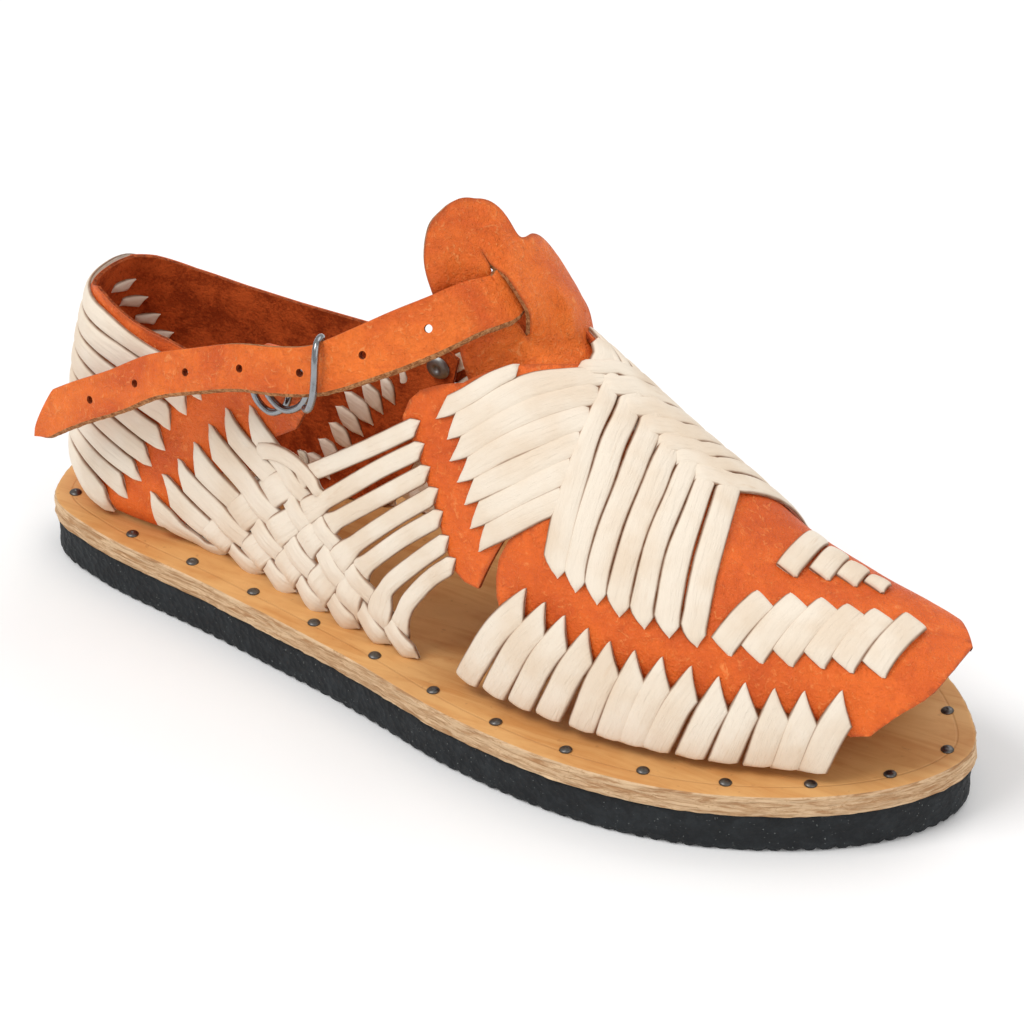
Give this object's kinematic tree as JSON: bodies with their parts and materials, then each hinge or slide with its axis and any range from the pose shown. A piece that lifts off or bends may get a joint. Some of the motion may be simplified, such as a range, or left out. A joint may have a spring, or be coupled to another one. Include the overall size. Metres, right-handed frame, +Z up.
{
  "type": "huarache sandal",
  "caption": "Right huarache sandal: woven leather thong upper with open toe, instep tab and buckled ankle strap, on a leather board nailed to a rubber sole.",
  "frame": {"origin": "on the ground under the middle of the sole's length", "axes": "+X to the toe, +Y to the medial side (the inner side of a right foot), +Z up"},
  "size_m": [0.295, 0.1089, 0.1427],
  "materials": {
    "rubber": "matt black with a light dust",
    "board": "smooth tan sole leather with a rough cut edge",
    "thong": "natural undyed leather thongs, low sheen",
    "tan_leather": "orange-tan grain leather, soft sheen",
    "steel": "polished wire",
    "nail": "dull nail heads"
  },
  "bodies": {
    "root": {"outsole": "rubber", "footbed": "board", "upper": "thong", "instep_tab": "tan_leather", "ankle_strap": "tan_leather", "strap_rivet": "steel", "buckle_ring_back": "steel", "buckle_ring_front": "steel", "buckle_bar": "steel", "nail_01": "nail", "nail_02": "nail", "nail_03": "nail", "nail_04": "nail", "nail_05": "nail", "nail_06": "nail", "nail_07": "nail", "nail_08": "nail", "nail_09": "nail", "nail_10": "nail", "nail_11": "nail", "nail_12": "nail", "nail_13": "nail", "nail_14": "nail", "nail_15": "nail", "nail_16": "nail", "nail_17": "nail", "nail_18": "nail", "nail_19": "nail", "nail_20": "nail", "nail_21": "nail", "nail_22": "nail", "nail_23": "nail", "nail_24": "nail", "nail_25": "nail", "nail_26": "nail", "nail_27": "nail"}
  },
  "joints": []
}
